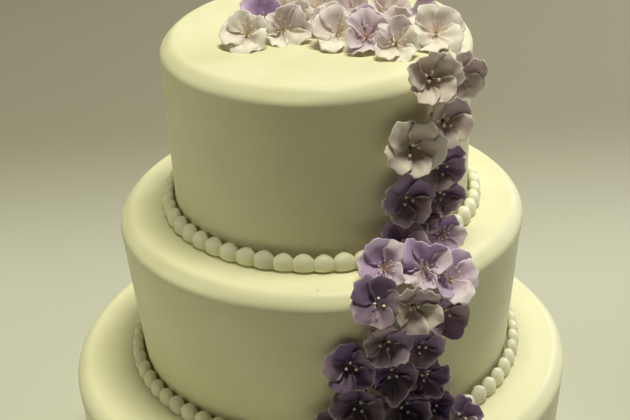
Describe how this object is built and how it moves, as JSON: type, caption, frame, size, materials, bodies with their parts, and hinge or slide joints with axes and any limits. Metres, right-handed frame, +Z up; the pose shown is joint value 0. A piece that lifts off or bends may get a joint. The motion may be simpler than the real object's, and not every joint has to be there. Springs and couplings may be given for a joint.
{
  "type": "tiered wedding cake",
  "caption": "Round stacked wedding cake in smooth ivory icing, with piped pearl borders and a cascade of cupped sugar blossoms from the top down the front.",
  "frame": {"origin": "centre of the flat underside of the bottom tier", "axes": "+Z up, -Y is the front, where the blossoms run down; +X is to the right as seen from the front"},
  "size_m": [0.2728, 0.2844, 0.2893],
  "materials": {
    "icing": "smooth rolled icing, ivory, satin",
    "piping": "piped icing pearls, ivory, satin",
    "petals_palest": "sugar paste, cream to pale lilac, matte",
    "petals_pale": "sugar paste, lilac, matte",
    "petals_mid": "sugar paste, greyed mauve, matte",
    "petals_dark": "sugar paste, purple brown, matte",
    "petals_darkest": "sugar paste, deep purple, matte"
  },
  "bodies": {
    "root": {"tier_bottom": "icing", "tier_middle": "icing", "tier_top": "icing", "border_bottom": "piping", "border_middle": "piping", "border_top": "piping", "blossom_01": "petals_palest", "blossom_02": "petals_palest", "blossom_03": "petals_palest", "blossom_04": "petals_pale", "blossom_05": "petals_palest", "blossom_06": "petals_palest", "blossom_07": "petals_pale", "blossom_08": "petals_palest", "blossom_09": "petals_palest", "blossom_10": "petals_pale", "blossom_11": "petals_palest", "blossom_12": "petals_pale", "blossom_13": "petals_palest", "blossom_14": "petals_palest", "blossom_15": "petals_palest", "blossom_16": "petals_palest", "blossom_17": "petals_mid", "blossom_18": "petals_mid", "blossom_19": "petals_mid", "blossom_20": "petals_mid", "blossom_21": "petals_dark", "blossom_22": "petals_dark", "blossom_23": "petals_dark", "blossom_24": "petals_darkest", "blossom_25": "petals_dark", "blossom_26": "petals_pale", "blossom_27": "petals_pale", "blossom_28": "petals_pale", "blossom_29": "petals_darkest", "blossom_30": "petals_pale", "blossom_31": "petals_mid", "blossom_32": "petals_dark", "blossom_33": "petals_dark", "blossom_34": "petals_dark", "blossom_35": "petals_darkest", "blossom_36": "petals_darkest", "blossom_37": "petals_darkest", "blossom_38": "petals_darkest", "blossom_39": "petals_darkest", "blossom_40": "petals_darkest", "blossom_41": "petals_darkest", "blossom_42": "petals_dark", "blossom_43": "petals_darkest", "blossom_44": "petals_darkest", "blossom_45": "petals_dark", "blossom_46": "petals_darkest", "blossom_47": "petals_darkest", "blossom_48": "petals_darkest", "blossom_49": "petals_darkest", "blossom_50": "petals_dark", "blossom_51": "petals_darkest", "blossom_52": "petals_darkest", "blossom_53": "petals_darkest"}
  },
  "joints": []
}
